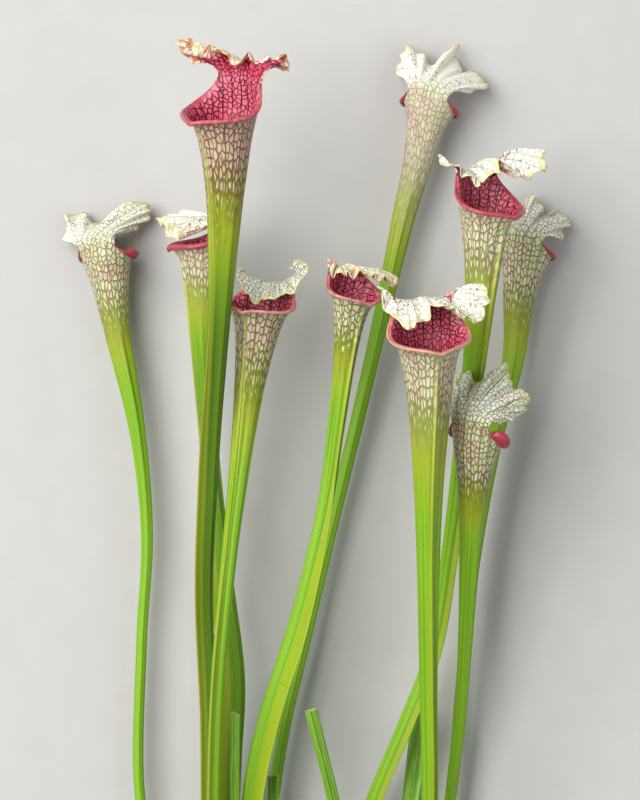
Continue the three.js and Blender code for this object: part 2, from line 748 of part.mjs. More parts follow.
for (const leaf of PITCHERS) {
  addPiece(leaf.name, pitcherGeometry(leaf), leafGreen);
}
for (const leaf of CUT_LEAVES) {
  addPiece(leaf.name, cutLeafGeometry(leaf), cutGreen);
}
addPiece("rhizome", rhizomeGeometry(), rootBrown);
plant.position.set(FEET_BESIDE_ORIGIN, -FEET_BELOW_ORIGIN, 0);

export default plant;
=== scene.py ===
# White-topped pitcher plant, lifted with its rootstock and laid on its back.
# Leaf paths are in millimetres, as in the part's source; meshes are in metres.

from math import cos, pi, radians, sin

import bpy
import numpy as np
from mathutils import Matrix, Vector


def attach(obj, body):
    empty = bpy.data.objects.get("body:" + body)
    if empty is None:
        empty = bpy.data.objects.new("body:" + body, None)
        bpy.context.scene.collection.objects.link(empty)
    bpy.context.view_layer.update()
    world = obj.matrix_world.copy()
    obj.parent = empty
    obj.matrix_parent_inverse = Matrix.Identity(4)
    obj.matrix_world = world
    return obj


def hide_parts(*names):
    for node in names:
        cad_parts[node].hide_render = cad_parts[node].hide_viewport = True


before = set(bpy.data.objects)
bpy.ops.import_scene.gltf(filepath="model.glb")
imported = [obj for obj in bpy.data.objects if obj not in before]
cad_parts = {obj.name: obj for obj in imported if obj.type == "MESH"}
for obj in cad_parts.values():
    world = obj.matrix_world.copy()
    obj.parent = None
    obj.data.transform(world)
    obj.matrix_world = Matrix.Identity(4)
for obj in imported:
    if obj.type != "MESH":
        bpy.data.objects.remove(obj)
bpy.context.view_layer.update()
print("frame loaded")

leafOrigin = np.array([2.2, -187, 0])  # the feet of the leaves start near here
tubeWall = 1.2
tubeFlatness = 0.94  # depth of a tube from back to front, for its width
footFlatness = 0.82  # the same at the foot that clasps the rootstock
footSwell = 1.7
wingRootHalf = 1.3  # half the wing's width where it leaves the tube
wingTipHalf = 0.4
mouthZone = 18  # depth of the funnel under the rim
throatDepth = 75
throatShadeDepth = 60  # painted shade darkens the throat over this depth
lipFlareDepth = 4.2
lipRoll = 1.0  # radius of the rolled edge
curlTurn = 0.32  # half the turn round the rim that a lip's bulb takes
hoodEdgeWall = 0.4
neckAngle = radians(57)  # half the turn round the rim that carries the hood
neckTaper = 0.005
hoodSpread = radians(45)  # the outermost vein of a hood leans out by this much

tubeRows, roundColumns = 120, 31
funnelRows, neckColumns, lipColumns = 20, 161, 95
hoodRows = 42
rollRows = 13
bladeSteps = np.array([0.12, 0.3, 0.6, 0.9, 1.0])  # shares of the wing's height


def smooth(x, low, high):
    t = np.clip((x - low) / (high - low), 0, 1)
    return t * t * (3 - 2 * t)


def mix(a, b, t):
    return a + (b - a) * t


def together(*parts):
    return np.stack(np.broadcast_arrays(*parts), -1)


def catmullRom(points, steps=60):
    points = np.array(points, float)
    ends = np.vstack([2 * points[0] - points[1], points, 2 * points[-1] - points[-2]])
    t = np.linspace(0, 1, steps + 1)[:-1, None]
    parts = []
    for before, start, end, after in zip(ends, ends[1:], ends[2:], ends[3:]):
        leaving = (end - before) / 2
        arriving = (after - start) / 2
        curve = 3 * (end - start) - 2 * leaving - arriving
        twist = 2 * (start - end) + leaving + arriving
        parts.append(start + leaving * t + curve * t**2 + twist * t**3)
    return np.vstack([*parts, points[-1:]])


def unit(vectors):
    return vectors / np.linalg.norm(vectors, axis=-1, keepdims=True)


# The middle line of a leaf, and a frame of directions at any distances from its foot
class Axis:
    def __init__(self, path, facing):
        self.line = catmullRom(path) + leafOrigin
        steps = np.linalg.norm(np.diff(self.line, axis=0), axis=1)
        self.far = np.concatenate([[0], np.cumsum(steps)])
        self.length = self.far[-1]
        self.tangent = unit(np.gradient(self.line, self.far, axis=0))
        self.facing = np.array([sin(radians(facing)), 0, cos(radians(facing))])

    def at(self, distance):
        distance = np.atleast_1d(distance)
        pick = lambda table: np.stack([np.interp(distance, self.far, c) for c in table.T], -1)
        centre = pick(self.line)
        along = unit(pick(self.tangent))
        front = unit(self.facing - along * (along @ self.facing)[:, None])
        side = np.cross(front, along)
        return centre, side, front, along


# Points beside a frame, for whole arrays of distances to the side, to the front and up
def beside(place, toSide, toFront, up=0):
    centre, side, front, along = (part[:, None, :] for part in place)
    toSide, toFront, up = np.broadcast_arrays(toSide, toFront, up)
    return centre + side * toSide[..., None] + front * toFront[..., None] + along * up[..., None]


def tubeRadius(leaf, below):
    return leaf["stem"] + (leaf["mouth"] - leaf["stem"]) * np.exp(-below / leaf["taper"])


# How much a leaf still clasps the rootstock at a distance from its foot, from 1 to 0
def claspShare(far):
    return 1 - smooth(far, 4, 46)


def wingRoot(half):
    return np.minimum(wingRootHalf, half * 0.5)


# Turns from the back of a tube to the root of its wing
def turnsRound(half):
    return np.linspace(0, 1, roundColumns)[None, :] * (pi - np.arcsin(wingRoot(half) / half))


def bothHalves(table, sign=1):
    return np.hstack([sign * table[:, :0:-1], table])


# Sideways and forward reach of a tube's outline, with the wing's blade at its front
def wingedOutline(half, deep, turn, rib, fold, wing):
    root = wingRoot(half)
    blade = mix(root, wingTipHalf, smooth(bladeSteps, 0, 0.4)) * np.where(bladeSteps < 1, 1, 0.4)
    front = deep * np.cos(np.arcsin(root / half))
    toSide = np.hstack([(half + rib) * np.sin(turn), blade])
    toFront = np.hstack([fold - (deep + rib) * np.cos(turn), fold[:, -1:] + front + wing * bladeSteps])
    return bothHalves(toSide, -1), bothHalves(toFront)


# Share of the front's fold, from none at the sides to full at the wing
def frontFold(angle):
    return np.maximum(0, 1 - (pi - np.abs(angle)) / 1.2)


def flareShare(angle):
    angle = np.abs(angle)
    return mix(0.7 * smooth(angle, 0.4, neckAngle), 1, smooth(angle, neckAngle, 1.6))


def rimHeight(leaf, angle):
    fromFront = (pi - np.abs(angle)) / (pi - neckAngle)
    spout = 2.2 * np.exp(-fromFront / 0.14)
    return leaf["mouth"] * 2 * leaf["neck"] * np.minimum(1, fromFront) ** leaf["steep"] - spout


# Vertices and faces of one leaf, with the values its finish reads
class Skin:
    def __init__(self):
        self.points, self.faces, self.kinds = [], [], []
        self.net, self.zone, self.fan = [], [], []
        self.count = 0

    def addGrid(self, points, net, zone, fan=0, kind=0, closed=False, flip=False):
        rows, columns = points.shape[:2]
        ids = self.count + np.arange(rows * columns).reshape(rows, columns)
        self.points.append(points.reshape(-1, 3))
        self.net.append(np.broadcast_to(net, points.shape).reshape(-1, 3))
        self.zone.append(np.broadcast_to(zone, points.shape).reshape(-1, 3))
        self.fan.append(np.broadcast_to(fan, points.shape[:2]).ravel())
        self.count += rows * columns
        self.addBands(ids, kind, closed, flip)
        return ids

    def addBands(self, ids, kind=0, closed=False, flip=False):
        right = np.roll(ids, -1, axis=1) if closed else ids[:, 1:]
        left = ids if closed else ids[:, :-1]
        quads = np.stack([left[:-1], right[:-1], right[1:], left[1:]], -1).reshape(-1, 4)
        self.faces.append(quads[:, ::-1] if flip else quads)
        self.kinds.append(np.full(len(quads), kind))

    # the thin edge between the two faces of a sheet, round its two sides and its far end
    def addEdge(self, first, second):
        rims = [np.concatenate([ids[:-1, 0], ids[-1, :-1], ids[::-1, -1]]) for ids in (first, second)]
        self.addBands(np.stack(rims), flip=True)

    def build(self, name, materials):
        mesh = bpy.data.meshes.new(name)
        points = np.vstack(self.points) / 1000
        faces = np.vstack(self.faces)
        mesh.vertices.add(len(points))
        mesh.vertices.foreach_set("co", points.ravel())
        mesh.loops.add(faces.size)
        mesh.loops.foreach_set("vertex_index", faces.ravel())
        mesh.polygons.add(len(faces))
        mesh.polygons.foreach_set("loop_start", np.arange(0, faces.size, 4))
        mesh.polygons.foreach_set("material_index", np.concatenate(self.kinds))
        mesh.polygons.foreach_set("use_smooth", np.ones(len(faces), bool))
        for layerName, values in (("net", self.net), ("zone", self.zone)):
            layer = mesh.attributes.new(layerName, "FLOAT_VECTOR", "POINT")
            layer.data.foreach_set("vector", np.vstack(values).astype(np.float32).ravel())
        layer = mesh.attributes.new("fan", "FLOAT", "POINT")
        layer.data.foreach_set("value", np.concatenate(self.fan).astype(np.float32))
        mesh.update(calc_edges=True)
        for material in materials:
            mesh.materials.append(material)
        piece = bpy.data.objects.new(name, mesh)
        bpy.context.scene.collection.objects.link(piece)
        return piece


def gridNormals(points):
    down = np.gradient(points, axis=0)
    across = np.gradient(points, axis=1)
    return unit(np.cross(across, down))


# One socket of a material, so that sums on values read as plain expressions
class Wire:
    def __init__(self, finish, socket):
        self.finish = finish
        self.socket = socket

    def sum(self, operation, first, second):
        return self.finish.add("Math", {"operation": operation}, {0: first, 1: second})

    def __add__(self, other):
        return self.sum("ADD", self, other)

    def __radd__(self, other):
        return self.sum("ADD", other, self)

    def __sub__(self, other):
        return self.sum("SUBTRACT", self, other)

    def __rsub__(self, other):
        return self.sum("SUBTRACT", other, self)

    def __mul__(self, other):
        return self.sum("MULTIPLY", self, other)

    def __rmul__(self, other):
        return self.sum("MULTIPLY", other, self)

    def __truediv__(self, other):
        return self.sum("DIVIDE", self, other)


class Finish:
    def __init__(self, name):
        self.material = bpy.data.materials.new(name)
        self.material.use_nodes = True
        self.tree = self.material.node_tree
        self.tree.nodes.clear()
        self.output = self.tree.nodes.new("ShaderNodeOutputMaterial")

    # a node of any type: settings go in first, then values or links by socket name or number
    def add(self, kind, settings={}, sockets={}, out=0):
        node = self.tree.nodes.new("ShaderNode" + kind)
        for key, value in settings.items():
            if key == "stops":
                ramp = node.color_ramp
                while len(ramp.elements) < len(value):
                    ramp.elements.new(0.5)
                for element, (position, colour) in zip(ramp.elements, value):
                    element.position = position
                    element.color = colour
            else:
                setattr(node, key, value)
        for key, value in sockets.items():
            if isinstance(value, Wire):
                self.tree.links.new(value.socket, node.inputs[key])
            else:
                node.inputs[key].default_value = value
        return Wire(self, node.outputs[out])

    def attribute(self, name, out="Vector"):
        return self.add("Attribute", {"attribute_name": name}, out=out)

    def split(self, vector):
        parts = self.add("SeparateXYZ", {}, {0: vector}).socket.node
        return [Wire(self, parts.outputs[i]) for i in range(3)]

    def join(self, x, y, z=0.0):
        return self.add("CombineXYZ", {}, {0: x, 1: y, 2: z})

    def ease(self, value, low, high):
        return self.add("MapRange", {"interpolation_type": "SMOOTHSTEP"}, {0: value, 1: low, 2: high})

    def least(self, first, second):
        return self.add("Math", {"operation": "MINIMUM"}, {0: first, 1: second})

    # from 0 on whole numbers up to 0.5 between them
    def zigzag(self, value):
        return self.add("Math", {"operation": "PINGPONG"}, {0: value, 1: 0.5})

    def cells(self, vector, scale, feature="F1", flat=True, evenness=1.0, out=0):
        settings = {"voronoi_dimensions": "2D" if flat else "3D", "feature": feature}
        sockets = {"Vector": vector, "Scale": scale, "Randomness": evenness}
        return self.add("TexVoronoi", settings, sockets, out)

    def noise(self, vector, scale, detail=2.0, roughness=0.5):
        sockets = {"Vector": vector, "Scale": scale, "Detail": detail, "Roughness": roughness}
        return self.add("TexNoise", {}, sockets)

    def blend(self, share, first, second):
        settings = {"data_type": "RGBA"}
        return self.add("Mix", settings, {0: share, 6: first, 7: second}, out=2)

    def shade(self, sockets):
        shader = self.add("BsdfPrincipled", {}, sockets)
        self.tree.links.new(shader.socket, self.output.inputs["Surface"])
        return self.material


# A colour from its red, green and blue on screen, 0 to 255
def tint(red, green, blue):
    linear = [((c / 255 + 0.055) / 1.055) ** 2.4 if c > 10 else c / 3294 for c in (red, green, blue)]
    return (*linear, 1)


# Vein net of a leaf: nearness to a vein, the veins from 0 to 1, and random numbers for each cell.
# It has a cell pattern, sheared so that its rows don't line up, and main veins along the leaf,
# which part in two where the hood spreads.
def veinNet(f, u, v, fan, parted, seed, cell, wide, spacing):
    shear = f.noise(f.join(u * 0.15, seed, v * 0.02), 1.0, 1.0)
    flat = f.join(u / cell[0] + seed * 7.0, v / cell[1] + shear, seed)
    shift = f.add("TexNoise", {}, {"Vector": flat, "Scale": 0.8, "Detail": 1.0}, out="Color")
    bent = f.add("VectorMath", {"operation": "MULTIPLY_ADD"}, {0: shift, 1: (0.4, 0.4, 0), 2: flat})
    edge = f.cells(bent, 1.0, "DISTANCE_TO_EDGE", evenness=0.85)
    tones = f.cells(bent, 1.0, evenness=0.85, out="Color")
    sway = f.noise(f.join(u * 0.1, v * 0.06, seed), 1.0, 1.0) * 0.5
    wave = fan / spacing + sway + 20.0
    main = f.least(f.zigzag(wave), f.zigzag(wave * 2.0) * 0.5 + (1.0 - parted) * 0.5)
    main = main * (parted * 0.7 + 1.0) * (spacing / cell[0] * 0.8)
    near = f.least(edge, main)
    return near, 1.0 - f.ease(near, wide * 0.6, wide * 1.3), f.split(tones)


trumpetLook = {
    "white": tint(212, 208, 184),
    "pinkWhite": tint(208, 166, 166),
    "vein": tint(116, 128, 34),
    "redVein": tint(104, 68, 34),
    "hoodWhite": tint(252, 251, 242),
    "hoodVein": tint(112, 138, 48),
    "paleGreen": tint(192, 200, 120),
    "stemVein": tint(134, 146, 30),
    "yellowGreen": tint(158, 166, 38),
    "green": tint(140, 190, 34),
    "darkGreen": tint(98, 146, 16),
    # painted shade: a dark green that stands in for shade on lower stems
    "paintedShadeGreen": tint(54, 80, 8),
    "wing": tint(184, 196, 88),
    "brown": tint(96, 52, 26),
    "speck": tint(176, 24, 74),
    "edge": tint(216, 212, 128),
    "oldEdge": tint(190, 128, 84),
    "oldCream": tint(238, 222, 184),
}


def trumpetFinish(look):
    f = Finish("trumpet skin")
    u, v, depth = f.split(f.attribute("net"))
    up, _, wing = f.split(f.attribute("zone"))
    age, blush, seed = f.split(f.attribute("tone", "Color"))
    # per leaf: painted shade on the lower stem, how faint the veins are, and pinkness
    stemPaintedShade, faint, pink = f.split(f.attribute("mood"))
    fan = f.attribute("fan", "Fac")
    onHood = f.ease(up, 0.0, 0.6)
    wide = 0.12 + f.ease(depth, 0.25, 1.35) * 0.38 - onHood * 0.03
    parted = f.ease(up, 0.1, 0.4)
    near, vein, (cellA, cellB, _) = veinNet(f, u, v, fan, parted, seed, (2.2, 3.0), wide, 4.4)

    patch = f.noise(f.join(u * 0.12, v * 0.12, seed), 1.0)
    pinkness = f.ease(cellA * 0.4 + patch + pink * 0.6 - onHood * 0.6, 0.7, 1.25)
    areole = f.blend(onHood, look["white"], look["hoodWhite"])
    areole = f.blend(pinkness, areole, look["pinkWhite"])
    fibre = f.noise(f.join(u * 1.6, v * 0.05, seed), 1.0, 3.0, 0.6)
    uneven = (cellB - 0.5) * 0.4 + (fibre - 0.5) * 0.5
    greening = f.ease(depth + uneven * 0.5, 0.45, 1.1)
    areole = f.blend(greening, areole, look["paleGreen"])
    redness = f.ease(patch + blush * 0.4 - onHood * 0.3, 0.72, 0.95)
    veinColour = f.blend(redness * 0.3 + pinkness * 0.4, look["vein"], look["redVein"])
    veinColour = f.blend(onHood, veinColour, look["hoodVein"])
    veinColour = f.blend(greening, veinColour, look["stemVein"])
    paling = f.ease(up, 0.05, 0.8) * f.least(faint * 1.2 + 0.15, 0.8)
    skin = f.blend(vein * (1.0 - paling - (1.0 - onHood) * faint * 0.5), areole, veinColour)

    speckle = f.cells(f.join(u, v), 0.36)
    speckZone = f.ease(f.noise(f.join(u * 0.1, v * 0.1, seed + 4.0), 1.0) + blush * 0.15, 0.5, 0.62)
    speck = (1.0 - f.ease(speckle, 0.12, 0.26)) * speckZone * onHood
    skin = f.blend(speck * 0.75, skin, look["speck"])

    stem = f.blend(f.ease(fibre, 0.3, 0.7), look["darkGreen"], look["green"])
    stem = f.blend(1.0 - f.ease(depth, 0.8, 2.0), stem, look["yellowGreen"])
    # painted shade: the lower stem of a leaf standing in shade is darkened by that leaf's share
    stem = f.blend(stemPaintedShade * f.ease(depth, 0.8, 2.4), stem, look["paintedShadeGreen"])
    fade = f.ease(depth + uneven, 0.8, 1.4)
    skin = f.blend(fade, skin, stem)
    spots = f.cells(f.join(u, depth * 70.0, seed), 0.2, flat=False)
    spotZone = f.ease(f.noise(f.join(u * 0.02, depth * 1.5, seed), 1.0), 0.5, 0.58) * fade
    skin = f.blend((1.0 - f.ease(spots, 0.08, 0.16)) * spotZone * 0.8, skin, look["brown"])
    ridge = f.blend(f.ease(depth, 0.6, 2.2), look["wing"], look["yellowGreen"])
    ridge = f.blend(onHood, ridge, look["hoodVein"])
    skin = f.blend(wing * 0.65, skin, ridge)

    rim = f.ease(up + (patch - 0.5) * 0.2, 0.9, 1.0)
    skin = f.blend(rim * 0.6, skin, look["edge"])
    ragged = f.noise(f.join(u, v, seed), 0.35, 4.0)
    skin = f.blend(age * f.ease(up + ragged * 0.6, 0.5, 1.1) * 0.6, skin, look["oldCream"])
    burnt = f.ease(up + (ragged - 0.5) * 1.6, 1.0, 1.12) * age
    skin = f.blend(burnt, skin, look["oldEdge"])

    relief = f.ease(near, 0.0, 0.35) * (1.0 - fade) + fibre * 0.6
    normal = f.add("Bump", {}, {"Strength": 0.4, "Distance": 0.0004, "Height": relief})
    return f.shade({"Base Color": skin, "Roughness": 0.4 + fibre * 0.12, "Normal": normal,
                    "Subsurface Weight": 0.15, "Subsurface Radius": (0.004, 0.003, 0.001),
                    "Subsurface Scale": 0.6, "Specular IOR Level": 0.32})


throatLook = {
    "crimson": tint(230, 78, 114),
    # dark crimson: for the throat's darker patches, and as painted shade deeper down
    "deep": tint(204, 44, 80),
    "pink": tint(238, 130, 152),
    "vein": tint(70, 8, 22),
    "rose": tint(174, 74, 88),
    # pale rose: partly the lip's own colour, partly a painted highlight
    "paleRoseAndHighlight": tint(220, 146, 146),
    "redRoll": tint(162, 44, 66),
    "greenRose": tint(200, 176, 122),
    "white": tint(248, 236, 220),
    "hoodVein": tint(140, 70, 60),
    "oldEdge": tint(196, 128, 88),
    "edge": tint(228, 214, 168),
}


def throatFinish(look):
    f = Finish("throat and lip skin")
    u, v, depth = f.split(f.attribute("net"))
    up, lip, wing = f.split(f.attribute("zone"))
    age, blush, seed = f.split(f.attribute("tone", "Color"))
    redLip = f.attribute("tone", "Alpha")
    fan = f.attribute("fan", "Fac")
    parted = f.ease(up, 0.1, 0.4)
    near, vein, (cellA, _, _) = veinNet(f, u, v, fan, parted, seed + 3.0, (2.5, 2.6), 0.115, 5.0)
    patch = f.noise(f.join(u * 0.15, v * 0.15, seed), 1.0)
    onHood = f.ease(up + (patch - 0.5) * 0.25 - blush * 0.1 - age * 0.5, 0.06, 0.45)
    flesh = f.blend(f.ease(cellA * 0.35 + patch, 0.35, 1.0), look["crimson"], look["deep"])
    # painted shade: the throat darkens deeper down the tube
    flesh = f.blend(f.ease(depth, 0.15, 0.8), flesh, look["deep"])
    nearRim = (1.0 - f.ease(depth, -0.03, 0.14)) * (1.0 - f.ease(up, 0.0, 0.2))
    flesh = f.blend(nearRim * 0.5, flesh, look["pink"])
    flesh = f.blend(onHood, flesh, look["white"])
    veinColour = f.blend(f.ease(onHood, 0.2, 1.0), look["vein"], look["hoodVein"])
    skin = f.blend(vein * (1.0 - onHood * 0.3), flesh, veinColour)

    # paler patches on the roll: partly the lip's own paler rose, partly a painted highlight
    lipHighlightAndTone = f.noise(f.join(u * 0.5, v * 0.5, seed), 1.0, 3.0)
    roll = f.blend(f.ease(lipHighlightAndTone + blush * 0.2, 0.4, 0.8), look["paleRoseAndHighlight"], look["rose"])
    roll = f.blend(redLip, roll, look["redRoll"])
    roll = f.blend(wing, roll, look["greenRose"])
    skin = f.blend(lip, skin, roll)

    rim = f.ease(up + (patch - 0.5) * 0.2, 0.9, 1.0)
    skin = f.blend(rim * 0.5, skin, look["edge"])
    ragged = f.noise(f.join(u, v, seed), 0.35, 4.0)
    burnt = f.ease(up + (ragged - 0.5) * 1.6, 0.9, 1.06) * age
    skin = f.blend(burnt, skin, look["oldEdge"])

    relief = f.ease(near, 0.0, 0.35) * (1.0 - lip)
    normal = f.add("Bump", {}, {"Strength": 0.5, "Distance": 0.0005, "Height": relief})
    return f.shade({"Base Color": skin, "Roughness": 0.42 - lip * 0.1, "Normal": normal,
                    "Subsurface Weight": 0.1, "Subsurface Radius": (0.004, 0.0015, 0.001),
                    "Subsurface Scale": 0.6, "Specular IOR Level": 0.45})


# The funnel's outside under the rim, as in the part's source
def mouthPoints(leaf, place, angle, share):
    rim = rimHeight(leaf, angle)
    height = mix(-mouthZone, rim, share)
    radius = tubeRadius(leaf, np.maximum(0, -height)) * (1 - neckTaper * np.maximum(0, height))
    depth = radius * mix(tubeFlatness, 1, smooth(height, -mouthZone, 0))
    felt = np.exp((height - rim) / lipFlareDepth)
    reach = leaf["flare"] * flareShare(angle) * felt
    fromFront = pi - np.abs(angle)
    beak = 1.6 * np.exp(-((fromFront / 0.35) ** 2)) * felt
    keel = 1.3 * (1 - smooth(share, 0, 0.85)) * np.exp(-((fromFront * radius / 0.9) ** 2))
    midrib = 0.5 * np.exp(-((angle / 0.05) ** 2))
    keel = keel + leaf.get("fold", 0.2) * radius * frontFold(angle) * mix(1, 0.75, share)
    toFront = -(depth + reach + midrib) * np.cos(angle) + beak + keel
    return beside(place, (radius + reach) * np.sin(angle), toFront, height), height


# A smooth curve through evenly spaced values, read at shares from -1 to 1
def along(values, share):
    curve = catmullRom(values, 40)
    place = (np.clip(share, -1, 1) + 1) / 2 * (len(curve) - 1)
    low = np.minimum(place.astype(int), len(curve) - 2)
    return mix(curve[low], curve[low + 1], (place - low)[..., None])


# The hood in its leaf's own frame: it leaves the neck upright and bends over to its edge
def hoodSheet(leaf, up, across):
    hood = leaf["hood"]
    up, across = np.broadcast_arrays(up, across)
    turn = across * neckAngle
    top = rimHeight(leaf, neckAngle)
    neck = leaf["mouth"] * (1 - neckTaper * top) + leaf["flare"] * flareShare(turn)
    start = np.stack([neck * np.sin(turn), -neck * np.cos(turn), np.full(turn.shape, top)], -1)
    crown = along([[k] for k in hood["crown"]], across)[..., 0]
    lean = 0.25 * crown
    bend = start + np.stack([lean * np.sin(turn), -lean * np.cos(turn), crown], -1)
    edge = along(hood["edge"], across)
    tip = 3.2 * np.exp(-((across / 0.06) ** 2))
    edge = edge + unit(edge - bend) * tip[..., None]
    t = up[..., None]
    return (1 - t) ** 2 * start + 2 * t * (1 - t) * bend + t**2 * edge


def hoodPoints(leaf, place, up, across):
    hood = leaf["hood"]
    sheet = hoodSheet(leaf, up, across)
    face = gridNormals(sheet)
    ruffle = 0
    for waves, size, shift in ((4.6, 1.2, 1), (7.3, 1.3, 2.3), (11, 1, 3.1), (17, 0.45, 4.3)):
        growth = smooth(up, 0.15, 1) ** (waves / 5)
        ruffle = ruffle + size * growth * np.sin(across * pi * waves + hood["wave"] * shift)
    ruffle = ruffle * hood.get("frill", 1)
    scallop = -1.2
    for waves, size, shift in ((3.7, 1.5, 1.3), (6.1, 1.3, 2.7)):
        scallop = scallop + size * np.abs(np.sin(across * pi * waves + hood["wave"] * shift))
    scallop = scallop * hood.get("scallop", 1)
    keel = 0.6 * np.exp(-((across / mix(0.05, 0.018, up)) ** 2)) * (1 - 0.6 * up)
    outward = unit(np.gradient(sheet, axis=0))
    local = sheet + face * (keel - ruffle)[..., None] + outward * (scallop * up**3)[..., None]
    points = beside(place, local[..., 0], local[..., 1], local[..., 2])
    steps = np.linalg.norm(np.diff(sheet, axis=0), axis=-1)
    reached = np.concatenate([0 * steps[:1], np.cumsum(steps, axis=0)])
    fan = across * hoodSpread
    u = across * neckAngle * leaf["mouth"] + reached * np.sin(fan)
    v = -rimHeight(leaf, neckAngle) - reached * np.cos(fan)
    return points, together(u, v, -0.2)


# The net stretches ever longer down the tube
def netFlow(below):
    return np.where(below > 0, 30 * np.log1p(np.maximum(below, 0) / 30), below)


def gridNormalsRound(points):
    wide = np.concatenate([points[:, -2:], points, points[:, :2]], axis=1)
    return gridNormals(wide)[:, 2:-2]


# The tube, with its ribs and the wing down its front
def addTube(skin, name, leaf, axis):
    tubeTop = axis.length - mouthZone
    far = tubeTop * np.linspace(0, 1, tubeRows) ** 0.9
    place = axis.at(far)
    far = far[:, None]
    below = axis.length - far
    radius = tubeRadius(leaf, below)
    clasp = claspShare(far)
    half = radius + footSwell * clasp
    deep = radius * mix(tubeFlatness, footFlatness, clasp)
    wing = leaf["wing"] * smooth(below, 60, 190) * mix(0.3, 1, smooth(far, 15, 95))
    wing = np.maximum(wing, wingRootHalf * smooth(far, 5, 30) * smooth(below, 0, 12))
    turn = turnsRound(half)
    fold = leaf.get("fold", 0.2) * radius * frontFold(turn)
    rng = np.random.default_rng(len(name))
    rib = sum(size * np.cos(turn * waves + rng.uniform(0, 6) + far * rng.uniform(-0.004, 0.004))
              for waves, size in ((5, 0.22), (8, 0.2), (13, 0.12)))
    backRib = np.exp(-((turn / 0.08) ** 2)) * (1 - smooth(below, 35, 100))
    rib = rib * smooth(below, 18, 60) * smooth(radius, 1.5, 5) * 1.3 + 0.5 * backRib
    points = beside(place, *wingedOutline(half, deep, turn, rib, fold, wing))

    onBlade = np.broadcast_to(smooth(bladeSteps, 0, 0.3), (tubeRows, len(bladeSteps)))
    onWing = bothHalves(np.hstack([0.4 * backRib, onBlade]))
    turn = bothHalves(np.hstack([turn, np.full(onBlade.shape, pi)]), -1) * leaf["mouth"]
    net = together(turn, netFlow(below), below / leaf["pale"])
    skin.addGrid(points, net, together(0.0, 0.0, onWing), turn, closed=True, flip=True)


def addThroat(skin, leaf, axis):
    below = np.linspace(mouthZone, throatDepth, 14)[:, None]
    place = axis.at(axis.length - below[:, 0])
    turn = np.linspace(-pi, pi, 64, endpoint=False)[None, :]
    inside = np.maximum(tubeRadius(leaf, below) - tubeWall, 0.4)
    points = beside(place, inside * np.sin(turn), -inside * tubeFlatness * np.cos(turn))
    turn = turn * leaf["mouth"]
    net = together(turn, netFlow(below), below / throatShadeDepth)
    skin.addGrid(points, net, np.zeros(3), turn, kind=1, closed=True)


# The lip's rolled edge, with the bulb of a lip that curls in on itself. It returns its first row.
def addRoll(skin, leaf, mouth, rim, turn):
    _, side, front, ahead = mouth
    outward = side * np.sin(turn)[:, None] - front * np.cos(turn)[:, None]
    size = lipRoll * leaf.get("roll", 1) * mix(0.3, 1, smooth(np.abs(turn), neckAngle, neckAngle + 0.5))
    curl = leaf.get("curl", {"at": 0, "size": 0})
    bulb = curl["size"] * np.sqrt(np.maximum(0, 1 - ((turn - curl["at"]) / curlTurn) ** 2))
    size = (size + bulb)[:, None]
    crest = rim + ahead * bulb[:, None] * 1.1
    wayOver = np.radians(np.linspace(165, -130, rollRows))[:, None, None]
    roll = crest + outward * size * (0.45 + np.cos(wayOver)) + ahead * size * (np.sin(wayOver) - 0.3)
    share = np.linspace(0, 1, rollRows)[:, None]
    net = together(turn * leaf["mouth"], share * 4, 0.0)
    zone = together(0.0, 1.0, leaf.get("greenLip", 0) * share + 0 * turn)
    skin.addGrid(roll, net, zone, turn * leaf["mouth"], kind=1)
    return roll[0]


